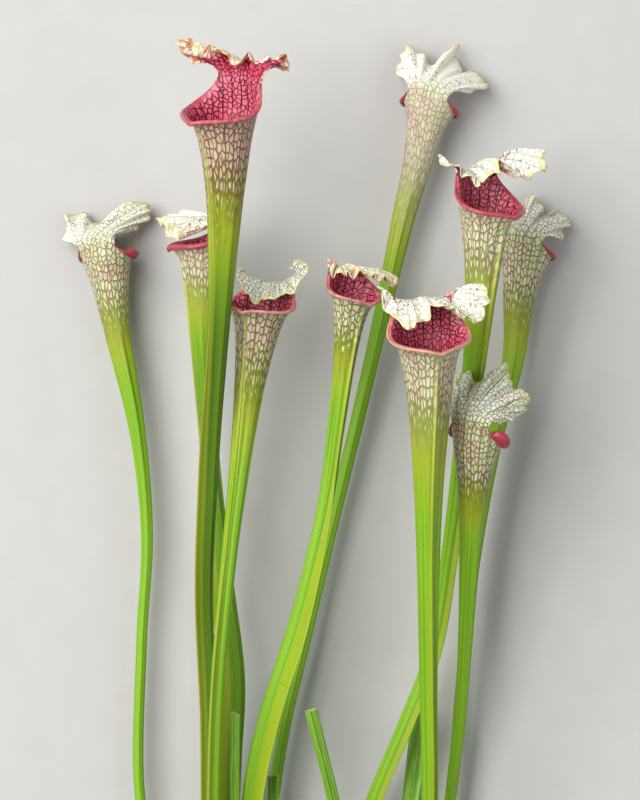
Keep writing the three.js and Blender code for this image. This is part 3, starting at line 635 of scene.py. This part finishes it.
def buildPitcher(name, leaf, materials):
    axis = Axis(leaf["path"], leaf["facing"])
    mouth = axis.at(axis.length)
    skin = Skin()
    addTube(skin, name, leaf, axis)

    # the outside of the funnel: first the neck under the hood, then the rim round to the front
    neckTurns = np.linspace(-neckAngle, neckAngle, neckColumns)
    lipTurns = np.linspace(neckAngle, 2 * pi - neckAngle, lipColumns + 2)[1:-1]
    turns = np.concatenate([neckTurns, np.where(lipTurns > pi, lipTurns - 2 * pi, lipTurns)])[None, :]
    share = (1 - (1 - np.linspace(0, 1, funnelRows)) ** 1.5)[:, None]
    outer, height = mouthPoints(leaf, mouth, turns, share)
    fan = turns * leaf["mouth"]
    net = together(fan, netFlow(-height), -height / leaf["pale"])
    fromFront = (pi - np.abs(turns)) * leaf["mouth"]
    onKeel = np.exp(-((fromFront / 0.7) ** 2)) + 0.4 * np.exp(-((turns / 0.04) ** 2)) + 0 * share
    skin.addGrid(outer, net, together(0.0, 0.0, onKeel), fan, closed=True, flip=True)

    # the hood
    up = np.linspace(0, 1, hoodRows)[:, None]
    across = np.linspace(-1, 1, neckColumns)[None, :]
    hood, hoodNet = hoodPoints(leaf, mouth, up, across)
    hoodRib = np.exp(-((across / mix(0.04, 0.012, up)) ** 2)) * mix(0.5, 0.9, up)
    hoodFan = across * neckAngle * leaf["mouth"]
    overIds = skin.addGrid(hood, hoodNet, together(up, 0.0, hoodRib), hoodFan, flip=True)

    # inner faces of both
    funnelNormals = gridNormalsRound(outer)
    hoodNormals = gridNormals(hood)
    shared = unit(funnelNormals[-1, :neckColumns] + hoodNormals[0])
    funnelNormals[-1, :neckColumns] = shared
    hoodNormals[0] = shared
    inner = outer - funnelNormals * mix(tubeWall, 1, share)[..., None]
    underHood = hood - hoodNormals * mix(1, hoodEdgeWall, up)[..., None]
    onRim = np.concatenate([[neckColumns - 1], np.arange(neckColumns, turns.shape[1]), [0]])
    innerRim = addRoll(skin, leaf, mouth, outer[-1, onRim], turns[0, onRim])
    inner[-1, onRim[1:-1]] = innerRim[1:-1]
    onLip = np.where(np.arange(turns.shape[1]) < neckColumns, 0, smooth(share, 0.9, 1))
    net = together(fan, netFlow(-height), -height / throatShadeDepth)
    skin.addGrid(inner, net, together(0.0, onLip, 0.0), fan, kind=1, closed=True)
    underIds = skin.addGrid(underHood, hoodNet, together(up + 0.02, 0.0, 0.0), hoodFan, kind=1)
    skin.addEdge(overIds, underIds)
    addThroat(skin, leaf, axis)

    piece = skin.build(name + "_leaf", materials)
    tone = piece.data.attributes.new("tone", "FLOAT_COLOR", "POINT")
    values = [leaf.get("age", 0), leaf.get("blush", 0.3), len(name) * 1.7, leaf.get("redLip", 0)]
    tone.data.foreach_set("color", np.tile(np.float32(values), skin.count))
    # per leaf: painted shade on the lower stem, how faint the veins are, and pinkness
    mood = piece.data.attributes.new("mood", "FLOAT_VECTOR", "POINT")
    values = [leaf.get("stemPaintedShade", 0), leaf.get("faint", 0), leaf["pink"]]
    mood.data.foreach_set("vector", np.tile(np.float32(values), skin.count))
    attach(piece, "root")
    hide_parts(name)
    return piece


# For each leaf: its path from foot to rim, the way its mouth faces in degrees, the radii of mouth
# and stem, how fast it tapers, the length of its white part and the wing's height; then how the rim
# rises to the neck and flares; then its tones from 0 to 1, with the painted shade of its lower stem;
# then the hood. A hood has the heights of its bend at the left, middle and right, and points on its
# edge, to the side, front and up
pitchers = {
    "pitcher_far_left": {
        "path": [[-73, -15, 15], [-83.5, 30, 13], [-92.7, 75, 12], [-91.3, 148, 12], [-88.5, 202, 13],
                 [-93.2, 255, 14.5], [-103.7, 308, 15.8], [-109, 343.5, 16.98]],
        "facing": 148, "mouth": 12, "stem": 2.6, "taper": 46, "pale": 37, "fold": 0, "wing": 2.3,
        "neck": 0.25, "steep": 5, "flare": 2.2,
        "age": 0.15, "pink": 0.3, "blush": 0.3, "redLip": 0.9, "roll": 1.3, "faint": 0.15,
        "curl": {"at": 1.8, "size": 1.0},
        "hood": {"crown": [6, 8, 6], "wave": 0.4, "scallop": 0.5, "edge": [
            [-20.5, -3, 12.5], [-23, -0.5, 20], [-17, 5.5, 25.5], [-3, 7.5, 19], [11.5, 18, 26.5],
            [17, 20.5, 22], [15.5, 17.5, 15.5], [10, 9, 13.5], [5.5, 1, 9.5]]},
    },
    "pitcher_back_left": {
        "path": [[-49, -10, 11], [-45.5, 40, 14], [-43, 90, 18], [-41.5, 131, 22], [-48, 185, 28],
                 [-55.3, 248, 35], [-58.2, 305, 42], [-58.2, 350, 48]],
        "facing": -84, "mouth": 11, "stem": 3.2, "taper": 44, "pale": 29, "wing": 6.4,
        "neck": 0.4, "steep": 5, "flare": 3.2,
        "pink": 0.3, "blush": 0.4, "redLip": 0.8, "roll": 1.4, "stemPaintedShade": 0.4, "faint": 0.3,
        "hood": {"crown": [4, 6, 5], "wave": 2.2, "edge": [
            [-9, -0.5, 10.5], [-12, 7, 9], [-12, 15, 5], [-6.5, 21, 9.5], [1, 21, 13.5],
            [9.5, 17, 12], [14, 10, 14], [15.5, 3, 13.5], [13.5, -2.5, 12.5]]},
    },
    "pitcher_tall_left": {
        "path": [[-60, -10, 20], [-56, 40, 25], [-55, 105, 34], [-57.2, 174, 47], [-54.6, 235, 63],
                 [-51, 290, 82], [-47.4, 345, 99], [-46, 377, 108], [-45.8, 411, 117]],
        "facing": -43, "mouth": 15.5, "stem": 3.2, "taper": 60, "pale": 52, "wing": 4.6,
        "neck": 0.47, "steep": 5, "flare": 4.6,
        "age": 1, "pink": 0.95, "blush": 0.9, "redLip": 0.3, "roll": 1.1, "stemPaintedShade": 0.7,
        "hood": {"crown": [14, 11, 8], "wave": 1.1, "frill": 1.2, "edge": [
            [-15, -25.5, 18.5], [-18, -23.5, 24.5], [-13.5, -17, 25.5], [-6.5, -12.5, 25], [1.5, -8.5, 26.5],
            [9, -3, 29], [18, 0.5, 30], [28, 4, 31.5], [25.5, -1.5, 21]]},
    },
    "pitcher_front_left": {
        "path": [[-52, -11, 29], [-53.5, 30, 39], [-53.3, 75, 50], [-51.3, 127, 58], [-45.9, 187, 62],
                 [-39.7, 240, 64], [-33.7, 289, 66], [-29.8, 316.5, 67]],
        "facing": -24, "mouth": 13.2, "stem": 3.2, "taper": 47, "pale": 47, "wing": 3,
        "neck": 0.42, "steep": 4.5, "flare": 4.6,
        "pink": 0.5, "blush": 0.4, "greenLip": 0.5, "roll": 0.75,
        "hood": {"crown": [13, 9, 8], "wave": 3.4, "frill": 0.4, "scallop": 0.6, "edge": [
            [-8, -9.5, 22], [-14, -7.5, 27.5], [-20.5, -3, 22], [-17, 2, 11.5], [-9, 7, 8],
            [-2, 9.5, 4], [5.5, 8.5, 8], [11.5, 4, 13], [17.5, -4, 19]]},
    },
    "pitcher_middle": {
        "path": [[-34, -11, 19], [-38, 35, 25], [-35.2, 75, 31], [-26.6, 114, 37], [-12, 160, 44],
                 [1.3, 213, 51], [7.6, 256, 58], [12.8, 297, 66], [15.8, 324, 71]],
        "facing": 35, "mouth": 10.2, "stem": 3.7, "taper": 28, "pale": 32, "wing": 8.6,
        "neck": 0.48, "steep": 4, "flare": 4.4,
        "age": 0.8, "pink": 0.2, "blush": 0.5, "greenLip": 0.3, "roll": 0.75,
        "hood": {"crown": [5, 7, 6], "wave": 4.6, "frill": 1.0, "edge": [
            [-22.5, 1.5, 4.5], [-22.5, 5.5, 8.5], [-14, 7, 9], [-6.5, 7, 11], [0.5, 6.5, 12],
            [6.5, 5.5, 11.5], [9.5, 2, 11], [11.5, -2, 12], [10.5, -7.5, 16]]},
    },
    "pitcher_back_tall": {
        "path": [[-28, -12, 9], [-27, 40, 10], [-19, 100, 10.5], [-7.5, 150, 11], [4.2, 200, 12],
                 [17.8, 256, 13.5], [29.7, 307, 15], [42.8, 366, 16.2], [49.3, 390, 17.2], [55.6, 420, 17.85]],
        "facing": 160, "mouth": 11, "stem": 3.1, "taper": 50, "pale": 55, "fold": 0, "wing": 2.8,
        "neck": 0.27, "steep": 5, "flare": 3.4,
        "age": 0.1, "pink": 0.3, "blush": 0.3, "redLip": 0.9, "roll": 1.3, "faint": 0.8,
        "hood": {"crown": [8, 10, 6], "wave": 5.3, "frill": 0.8, "edge": [
            [-15.5, -1, 10], [-22, 1, 22], [-18, 4.5, 29.5], [-6, 5.5, 24.5], [3, 11, 32.5],
            [8.5, 13, 24], [16.5, 17, 23], [23, 15, 18], [15, 5.5, 11]]},
    },
    "pitcher_right": {
        "path": [[9, -12, 12], [14, 30, 16], [28.5, 72, 23], [43, 107, 28], [57.2, 146, 33],
                 [65, 195, 40], [71.2, 245, 48], [77, 290, 57], [80.6, 335, 67], [82.2, 367, 73]],
        "facing": 41, "mouth": 13.4, "stem": 3.3, "taper": 53, "pale": 42, "wing": 3.6,
        "neck": 0.62, "steep": 4, "flare": 4.6,
        "pink": 0.15, "blush": 1, "faint": 0.25, "redLip": 0.5, "roll": 1.1,
        "hood": {"crown": [14, 6, 4], "wave": 0.9, "edge": [
            [-33, 5, 27], [-30, 9.5, 19], [-17.5, 7.5, 15], [-7.5, 5.5, 21], [1, 5, 20.5],
            [9.5, 4.5, 12.5], [14, -1, 18.5], [17.5, -8.5, 20.5], [18.5, -17.5, 25]]},
    },
    "pitcher_far_right": {
        "path": [[53.5, -10, 9], [60.5, 35, 9.5], [67.8, 75, 10.5], [73, 131, 12], [78.2, 185, 13.5],
                 [88, 245, 15.5], [98.2, 290, 17], [101.5, 322, 17.7], [104.4, 346, 17.83]],
        "facing": 156, "mouth": 12, "stem": 3, "taper": 42, "pale": 36, "fold": 0, "wing": 2.8,
        "neck": 0.26, "steep": 5, "flare": 2.8,
        "pink": 0.25, "blush": 0.7, "redLip": 0.9, "roll": 1.2, "faint": 0.1,
        "hood": {"crown": [7, 9, 6], "wave": 2.9, "edge": [
            [-12, 1, 8], [-17, 2.5, 15], [-14, 5.5, 22], [-7.5, 5.5, 23], [-4.5, 9, 30.5],
            [3, 12, 23.5], [10.5, 15.5, 23], [17, 15, 18.5], [14, 7, 10]]},
    },
    "pitcher_front_right": {
        "path": [[52, -10, 27], [54, 30, 36], [55.2, 75, 48], [54.2, 125, 62], [53.6, 175, 76],
                 [53.4, 225, 89], [53.6, 268, 100], [52.9, 301, 108]],
        "facing": 13, "mouth": 15.6, "stem": 3.9, "taper": 60, "pale": 50, "wing": 3.6,
        "neck": 0.52, "steep": 5, "flare": 4.6,
        "pink": 0.4, "blush": 0.35, "faint": 0.25, "redLip": 0.1, "greenLip": 1, "roll": 0.8,
        "hood": {"crown": [9, 5, 8], "wave": 3.8, "frill": 0.85, "edge": [
            [-31, -8.5, 24.5], [-31, -2.5, 15], [-23, 1.5, 7.5], [-14.5, 3, 13.5], [-5.5, 4, 18],
            [3, 5.5, 13], [11, 5, 7.5], [19, -4, 15.5], [21, -14.5, 25.5]]},
    },
    "pitcher_low_right": {
        "path": [[65, -14, 19], [65.5, 30, 24], [66.4, 72, 32], [70.4, 105, 39], [73, 150, 49],
                 [75, 200, 61], [76.4, 230, 69], [77.2, 249, 74]],
        "facing": 150, "mouth": 11, "stem": 2.5, "taper": 50, "pale": 28, "wing": 2.3,
        "neck": 0.5, "steep": 3.5, "flare": 2.6,
        "pink": 0.4, "blush": 0.6, "redLip": 0.9, "roll": 1.4, "curl": {"at": 1.5, "size": 2.6},
        "hood": {"crown": [10, 12, 8], "wave": 5.9, "edge": [
            [-16.5, 4, 13.5], [-21, 9, 22.5], [-17, 14, 31.5], [-7, 14.5, 30], [2.5, 22, 35.5],
            [8.5, 20.5, 27.5], [17.5, 22, 23], [17.5, 13, 17], [13.5, 2, 12]]},
    },
}

trumpets = [trumpetFinish(trumpetLook), throatFinish(throatLook)]
for name, leaf in pitchers.items():
    piece = buildPitcher(name, leaf, trumpets)
    print(name, len(piece.data.polygons), "faces")

cutLeafLook = {
    "lit": tint(138, 186, 50),
    "shade": tint(92, 146, 30),
    "cut": tint(196, 206, 140),
    "dry": tint(150, 120, 70),
}

cutLeaves = {
    "cut_leaf_left": {
        "path": [[-41, -12, 25.5], [-41.5, 30, 32], [-43, 75, 38], [-42.5, 113, 41]],
        "facing": -20, "half": 2.3, "wing": 2.6, "slant": 0.5,
    },
    "cut_leaf_short": {
        "path": [[-20.5, -12, 19], [-21.5, 25, 21], [-23.5, 55, 22], [-24, 80, 21]],
        "facing": 30, "half": 2.6, "wing": 3.4, "slant": -0.2,
    },
    "cut_leaf_middle": {
        "path": [[20, -12, 20], [15.5, 25, 28], [7, 68, 36], [-4.5, 115, 41]],
        "facing": -10, "half": 3, "wing": 2.2, "slant": 0.05,
    },
    "cut_leaf_back": {
        "path": [[35, -11, 11], [40, 30, 10.5], [46, 72, 12], [50, 112, 15]],
        "facing": 60, "half": 3.4, "wing": 3.2, "slant": 0.3,
    },
}


def cutLeafFinish(look):
    f = Finish("cut leaf skin")
    u, v, depth = f.split(f.attribute("net"))
    onCut = f.split(f.attribute("zone"))[0]
    fibre = f.noise(f.join(u * 1.2, v * 0.05, 2.0), 1.0, 3.0, 0.6)
    skin = f.blend(f.ease(fibre, 0.3, 0.7), look["shade"], look["lit"])
    pith = f.noise(f.join(u * 2.0, v * 2.0, depth), 1.0, 4.0)
    cut = f.blend(f.ease(pith, 0.4, 0.75), look["cut"], look["dry"])
    skin = f.blend(onCut, skin, cut)
    normal = f.add("Bump", {}, {"Strength": 0.3, "Distance": 0.0004, "Height": fibre})
    return f.shade({"Base Color": skin, "Roughness": 0.42 + fibre * 0.12, "Normal": normal,
                    "Subsurface Weight": 0.1, "Subsurface Radius": (0.003, 0.003, 0.001),
                    "Subsurface Scale": 0.6})


cutLeafRows = 50


def buildCutLeaf(name, leaf, material):
    axis = Axis(leaf["path"], leaf["facing"])
    far = np.linspace(0, axis.length, cutLeafRows)
    place = axis.at(far)
    far = far[:, None]
    clasp = claspShare(far)
    half = leaf["half"] + footSwell * clasp
    deep = leaf["half"] * mix(tubeFlatness, footFlatness, clasp)
    wing = np.maximum(leaf["wing"] * mix(0.3, 1, smooth(far, 15, 95)), wingRootHalf * smooth(far, 5, 30))
    turn = turnsRound(half)
    rib = 0.15 * np.cos(turn * 9 + far * 0.01)
    toSide, toFront = wingedOutline(half, deep, turn, rib, 0 * turn, wing)
    ragged = 0.35 * np.sin(np.arange(toSide.shape[1]) * 1.9)
    toCut = np.where(np.arange(cutLeafRows)[:, None] == cutLeafRows - 1, leaf["slant"] * toSide + ragged, 0)
    skin = Skin()
    points = beside(place, toSide, toFront, toCut)
    net = together(np.linspace(-10, 10, toSide.shape[1])[None, :], far, 0.0)
    skin.addGrid(points, net, np.zeros(3), closed=True, flip=True)

    # the cut face, a little hollow
    _, side, front, ahead = (part[-1] for part in place)
    middle = points[-1:].mean(axis=1, keepdims=True) - ahead * 0.8
    face = np.concatenate([mix(middle, points[-1:], share) for share in (1, 0.85, 0.5, 0.05)])
    faceNet = together(face @ side, face @ front, 0.0)
    faceZone = together(np.array([[0.3], [1], [1], [1]]) + 0 * face[..., 0], 0.0, 0.0)
    skin.addGrid(face, faceNet, faceZone, closed=True, flip=True)
    piece = skin.build(name + "_blade", [material])
    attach(piece, "root")
    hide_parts(name)


cutSkin = cutLeafFinish(cutLeafLook)
for name, leaf in cutLeaves.items():
    buildCutLeaf(name, leaf, cutSkin)
print("cut leaves built")

# The rootstock: ringed with old leaf scars, with roots, rootlets and papery sheaths at the feet
rootstock = {
    "path": [[-90, -19, 14], [-52, -13, 17.2], [-10, -15, 13.6], [25, -14, 14.8], [52, -12, 16.8],
             [84, -17, 14.5]],
    "halfHeight": [8.5, 17.6, 13.6, 15, 17.2, 9],
    "halfDepth": [8, 14, 10.5, 12, 13.5, 8],
    "roots": 24,
    "rootRadius": 1.5,
    "rootlets": 9,  # on each root
    "scarRings": 27,
}
rootLook = {
    "bark": tint(104, 72, 50),
    "dark": tint(54, 36, 28),
    "scar": tint(146, 112, 78),
    "root": tint(150, 112, 74),
    "rootDark": tint(86, 56, 38),
    "tip": tint(206, 182, 142),
    "sheath": tint(150, 104, 66),
    "sheathRed": tint(116, 58, 44),
}


def rootFinish(look):
    f = Finish("rootstock bark")
    u, v, ring = f.split(f.attribute("net"))
    root, sheath, toTip = f.split(f.attribute("zone"))
    place = f.add("TexCoord", {}, {}, out="Object")
    rough = f.noise(place, 170.0, 6.0, 0.65)
    fine = f.noise(place, 700.0, 3.0)
    bark = f.blend(f.ease(rough, 0.32, 0.6), look["dark"], look["bark"])
    bark = f.blend(f.ease(ring + (rough - 0.5) * 0.8, 0.75, 1.0) * 0.8, bark, look["scar"])
    thread = f.blend(f.ease(rough + (fine - 0.5) * 0.5, 0.35, 0.62), look["rootDark"], look["root"])
    thread = f.blend(f.ease(toTip, 0.6, 1.0), thread, look["tip"])
    fibre = f.noise(f.join(u * 2.2, v * 0.12, 1.0), 1.0, 3.0, 0.6)
    paper = f.blend(f.ease(fibre, 0.35, 0.65), look["sheathRed"], look["sheath"])
    paper = f.blend(f.ease(toTip + (rough - 0.5) * 0.6, 0.5, 1.0) * 0.6, paper, look["dark"])
    skin = f.blend(sheath, f.blend(root, bark, thread), paper)
    height = rough + fine * 0.3 + fibre * sheath
    normal = f.add("Bump", {}, {"Strength": 0.6, "Distance": 0.0008, "Height": height})
    return f.shade({"Base Color": skin, "Roughness": 0.85 - sheath * 0.15, "Normal": normal})


# The same repeatable random source as in the part's source
def randomFrom(seed):
    state = seed * 7919 + 17
    while True:
        state = state * 16807 % 2147483647
        yield state / 2147483647


def addThread(skin, line, thick, sides, fromTip=0):
    ahead = unit(np.gradient(line, axis=0))
    across = unit(np.cross(ahead, [0, 0, 1]))
    over = np.cross(across, ahead)
    turn = np.linspace(0, 2 * pi, sides, endpoint=False)[None, :, None]
    outward = across[:, None] * np.cos(turn) + over[:, None] * np.sin(turn)
    points = line[:, None] + outward * thick[:, None, None]
    toTip = mix(fromTip, 1, np.linspace(0, 1, len(line))[:, None])
    zone = together(1.0, 0.0, toTip + 0 * turn[..., 0])
    skin.addGrid(points, np.zeros(3), zone, closed=True, flip=True)


def addRoots(skin, centreLine):
    rng = np.random.default_rng(3)
    draw = randomFrom(11)
    for i in range(rootstock["roots"]):
        share = mix(0.05, 0.95, (i + 0.5) / rootstock["roots"])
        place = centreLine[round(share * (len(centreLine) - 1))] + [0, -2, mix(-7, 5, next(draw))]
        turn = mix(-0.75, 0.75, share) + (next(draw) - 0.5) * 0.35
        stride = mix(34, 66, next(draw)) / 6
        swing = (next(draw) - 0.5) * 1.3
        line = []
        for step in range(7):
            line.append(place)
            turn = turn + (swing * cos(step / 6 * 5) + (next(draw) - 0.5) * 0.5) / 6
            place = place + [sin(turn) * stride, -cos(turn) * stride, 0]
            place[2] = mix(place[2], rootstock["rootRadius"] + 0.2, 0.3)
        line = catmullRom(line, 8)
        thick = rootstock["rootRadius"] * np.linspace(1, 0.42, len(line))
        knots = 1 + 0.1 * np.sin(np.arange(len(line)) * 1.3 + i) + rng.uniform(-0.07, 0.07, len(line))
        addThread(skin, line, thick * knots, 9)
        for start in rng.choice(np.arange(14, len(line) - 3), rootstock["rootlets"], replace=False):
            heading = rng.uniform(0.5, 1.2) * rng.choice([-1, 1])
            ahead = unit(line[start + 1] - line[start])
            swung = np.array([ahead[0] * cos(heading) - ahead[1] * sin(heading),
                              ahead[0] * sin(heading) + ahead[1] * cos(heading), 0])
            far = np.linspace(0, rng.uniform(5, 13), 8)[:, None]
            curl = rng.uniform(-0.03, 0.03) * far**2
            rootlet = line[start] + swung * far + np.array([-swung[1], swung[0], 0]) * curl
            rootlet[:, 2] = np.maximum(0.3, line[start][2] - 0.1 * far[:, 0])
            addThread(skin, rootlet, np.linspace(0.3, 0.12, 8), 5, fromTip=0.5)


# Papery sheaths that old leaves left round the foot of a leaf
def addSheaths(skin, leaf, seed):
    axis = Axis(leaf["path"], leaf["facing"])
    rng = np.random.default_rng(seed)
    for turn in np.arange(4) * 2.4 + rng.uniform(0, 6):
        share = np.linspace(0, 1, 11)[:, None]
        far = 11 + share * rng.uniform(13, 24)
        halfWidth = rng.uniform(0.45, 0.8) * (1 - share**2.5) ** 0.5 + 0.03
        angle = turn + np.linspace(-1, 1, 9)[None, :] * halfWidth
        half = leaf.get("stem", leaf.get("half")) + footSwell * claspShare(far)
        curl = 0.6 + rng.uniform(0.8, 2.6) * share**2 + 0.25 * np.sin(angle * 9 + far * 0.3)
        place = axis.at(far[:, 0])
        layers = []
        for lift in (0.0, 0.35):
            reach = half + curl + lift
            layers.append(beside(place, reach * np.sin(angle), -reach * 0.9 * np.cos(angle)))
        net = together(angle * 5, far, 0.0)
        zone = together(0.0, 1.0, share + 0 * angle)
        under = skin.addGrid(layers[0], net, zone)
        over = skin.addGrid(layers[1], net, zone, flip=True)
        skin.addEdge(over, under)


def buildRootstock():
    skin = Skin()
    centreLine = catmullRom(rootstock["path"]) + leafOrigin
    share = np.linspace(0, 1, len(centreLine))[:, None]
    knots = np.arange(len(rootstock["path"]))
    low = np.minimum((share * knots[-1]).astype(int), knots[-2])
    between = smooth(share * knots[-1] - low, 0, 1)
    halfDepth, halfHeight = (
        mix(np.array(rootstock[key])[low], np.array(rootstock[key])[low + 1], between)
        for key in ("halfDepth", "halfHeight"))
    end = np.sqrt(np.maximum(0.0004, 1 - np.abs(2 * share - 1) ** 8))  # rounds off both ends
    angle = np.linspace(0, 2 * pi, 112, endpoint=False)[None, :]
    rings = share * rootstock["scarRings"] + 0.35 * np.sin(angle * 2 + share * 9) + 0.12 * np.sin(angle * 7)
    step = rings % 1
    lump = sum(np.sin(angle * a + share * b + a) * size
               for a, b, size in ((3, 21, 0.35), (5, -34, 0.3), (8, 60, 0.22), (13, 95, 0.14)))
    ridge = 0.955 + 0.075 * step**2
    toBack = np.cos(angle) * (halfDepth * ridge + lump) * end
    toTop = np.sin(angle) * (halfHeight * ridge + lump) * end
    points = together(
        centreLine[:, :1] + np.sign(share - 0.5) * 2.5 * (1 - end),
        centreLine[:, 1:2] + toBack,
        np.maximum(0.02, centreLine[:, 2:] + toTop))
    net = together(angle * 13, share * 170, step)
    skin.addGrid(points, net, np.zeros(3), closed=True, flip=True)
    addRoots(skin, centreLine)
    for seed, leaf in enumerate([*pitchers.values(), *cutLeaves.values()]):
        addSheaths(skin, leaf, seed)
    piece = skin.build("rootstock", [rootFinish(rootLook)])
    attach(piece, "root")
    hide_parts("rhizome")
    return piece


print("rootstock", len(buildRootstock().data.polygons), "faces")

# Floor, light and camera
stageLook = {"floor": tint(193, 192, 191), "grain": tint(186, 185, 184)}


def floorFinish(look):
    f = Finish("plain floor")
    place = f.add("TexCoord", {}, {}, out="Object")
    grain = f.noise(place, 60.0, 3.0)
    return f.shade({"Base Color": f.blend(grain, look["floor"], look["grain"]), "Roughness": 0.8})


bpy.ops.mesh.primitive_plane_add(size=30, location=(0, 0, -0.0002))
floor = bpy.context.object
floor.name = "floor"
floor.data.materials.append(floorFinish(stageLook))


def addLamp(name, place, target, size, power, colour=(1, 1, 1)):
    lamp = bpy.data.lights.new(name, "AREA")
    lamp.shape = "DISK"
    lamp.size = size
    lamp.energy = power
    lamp.color = colour
    holder = bpy.data.objects.new(name, lamp)
    holder.location = place
    holder.rotation_euler = (Vector(target) - Vector(place)).to_track_quat("-Z", "Y").to_euler()
    bpy.context.scene.collection.objects.link(holder)


addLamp("window light", (-1.25, 0.7, 2.0), (0, 0, 0), 2.3, 90, (1, 0.985, 0.955))
addLamp("fill light", (1.5, -0.3, 1.7), (0, 0, 0), 1.6, 11, (0.95, 0.98, 1))

world = bpy.data.worlds.new("soft room")
world.use_nodes = True
world.node_tree.nodes["Background"].inputs["Color"].default_value = (1, 1, 1, 1)
world.node_tree.nodes["Background"].inputs["Strength"].default_value = 0.25
bpy.context.scene.world = world
bpy.context.scene.view_settings.view_transform = "Standard"

viewFrom = {"middle": (0.0022, 0.0845), "height": 2.06, "frameHeight": 0.4, "frameAt": 0.06}
camera = bpy.data.cameras.new("camera")
camera.sensor_fit = "VERTICAL"
camera.sensor_height = 36
camera.lens = 36 * (viewFrom["height"] - viewFrom["frameAt"]) / viewFrom["frameHeight"]
camera.clip_start = 0.1
camera.clip_end = 50
cameraStand = bpy.data.objects.new("camera", camera)
cameraStand.location = (*viewFrom["middle"], viewFrom["height"])
bpy.context.scene.collection.objects.link(cameraStand)
bpy.context.scene.camera = cameraStand
bpy.context.view_layer.update()

print("scene ready")
